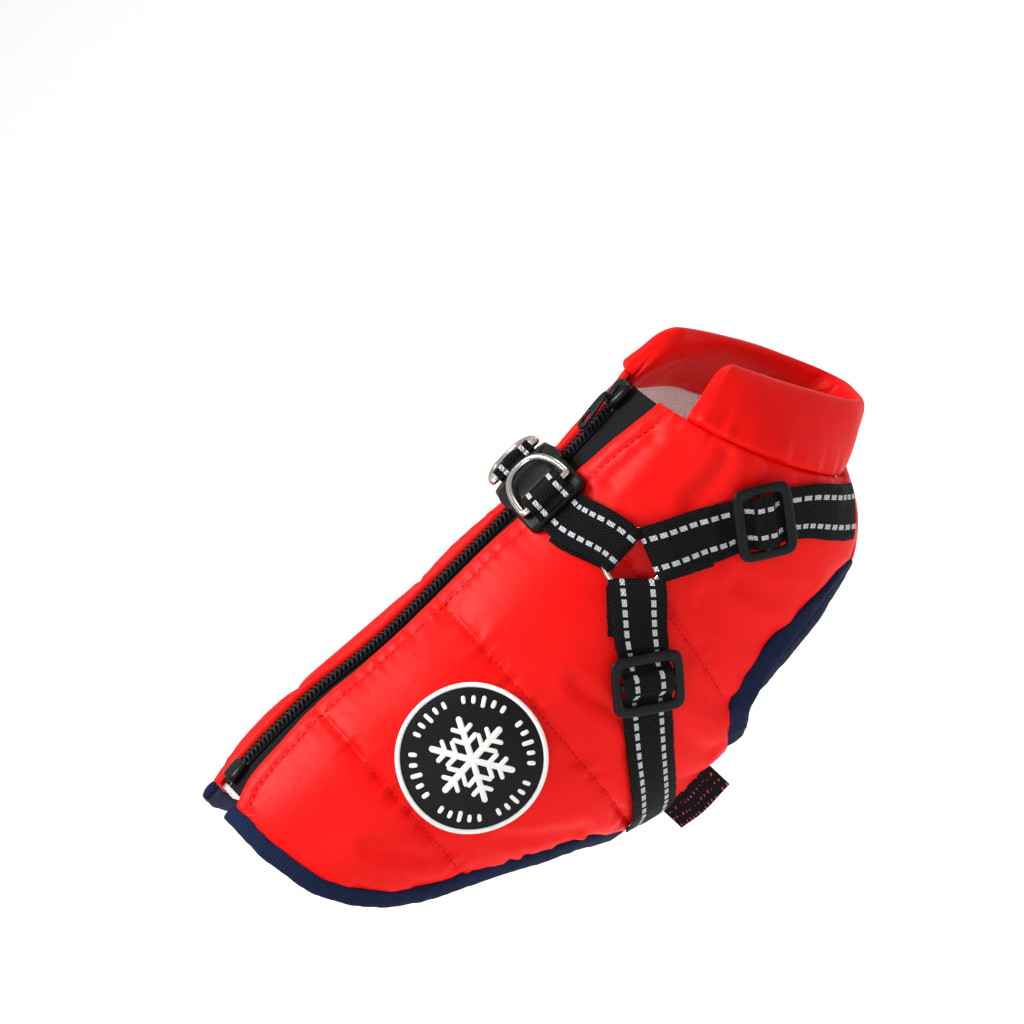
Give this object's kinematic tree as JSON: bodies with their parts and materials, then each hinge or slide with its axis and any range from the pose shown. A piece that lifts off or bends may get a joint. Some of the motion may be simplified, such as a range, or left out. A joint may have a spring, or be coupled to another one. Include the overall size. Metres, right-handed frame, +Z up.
{
  "type": "dog winter jacket",
  "caption": "Small dog's padded red winter jacket, filled out, with a back zip, short collar, navy rib binding and a built-in webbing harness.",
  "frame": {"origin": "on the inside of the back at the withers, over the spine, where the wearer holds the jacket up", "axes": "+X towards the head, +Y towards the wearer's left, +Z up"},
  "size_m": [0.2796, 0.1258, 0.146],
  "materials": {
    "red_nylon": "smooth padded nylon, slight sheen",
    "white_lining": "matt brushed lining",
    "navy_rib_knit": "matt rib knit",
    "black_webbing": "woven webbing, zip tape and woven label",
    "black_plastic": "moulded plastic, semi-gloss",
    "nickel_wire": "polished nickel plate",
    "patch_rubber": "soft matt rubber"
  },
  "bodies": {
    "jacket": {"right_side_panel": "red_nylon", "left_side_panel": "red_nylon", "right_lining": "white_lining", "left_lining": "white_lining", "chest_panel": "red_nylon", "chest_lining": "white_lining", "hem_binding": "navy_rib_knit", "right_armhole_binding": "navy_rib_knit", "left_armhole_binding": "navy_rib_knit", "collar": "red_nylon", "right_zip_tape": "black_webbing", "left_zip_tape": "black_webbing", "zip_chain": "black_plastic", "zip_box": "black_plastic", "zip_slider": "black_plastic", "right_o_ring": "nickel_wire", "left_o_ring": "nickel_wire", "right_back_strap": "black_webbing", "left_back_strap": "black_webbing", "right_chest_strap": "black_webbing", "left_chest_strap": "black_webbing", "right_belly_strap": "black_webbing", "left_belly_strap": "black_webbing", "right_chest_glide": "black_plastic", "left_chest_glide": "black_plastic", "right_belly_glide": "black_plastic", "left_belly_glide": "black_plastic", "right_d_loop": "black_webbing", "left_d_loop": "black_webbing", "buckle_socket": "black_plastic", "buckle_plug": "black_plastic", "patch": "patch_rubber", "label": "black_webbing"},
    "pull_tab": {"zip_pull": "black_plastic"},
    "right_ring": {"right_d_ring": "nickel_wire"},
    "left_ring": {"left_d_ring": "nickel_wire"}
  },
  "joints": [
    {"name": "zip_pull_hinge", "type": "hinge", "parent": "jacket", "child": "pull_tab", "pos_m": [0.04179, 0, 0.01109], "axis": [0, 1, 0], "range_deg": [0, 150]},
    {"name": "right_d_ring_hinge", "type": "hinge", "parent": "jacket", "child": "right_ring", "pos_m": [0.00005, -0.01857, 0.00886], "axis": [1, 0, 0], "range_deg": [0, 150]},
    {"name": "left_d_ring_hinge", "type": "hinge", "parent": "jacket", "child": "left_ring", "pos_m": [0.00006, 0.01538, 0.00824], "axis": [1, 0, 0], "range_deg": [0, 150]}
  ]
}
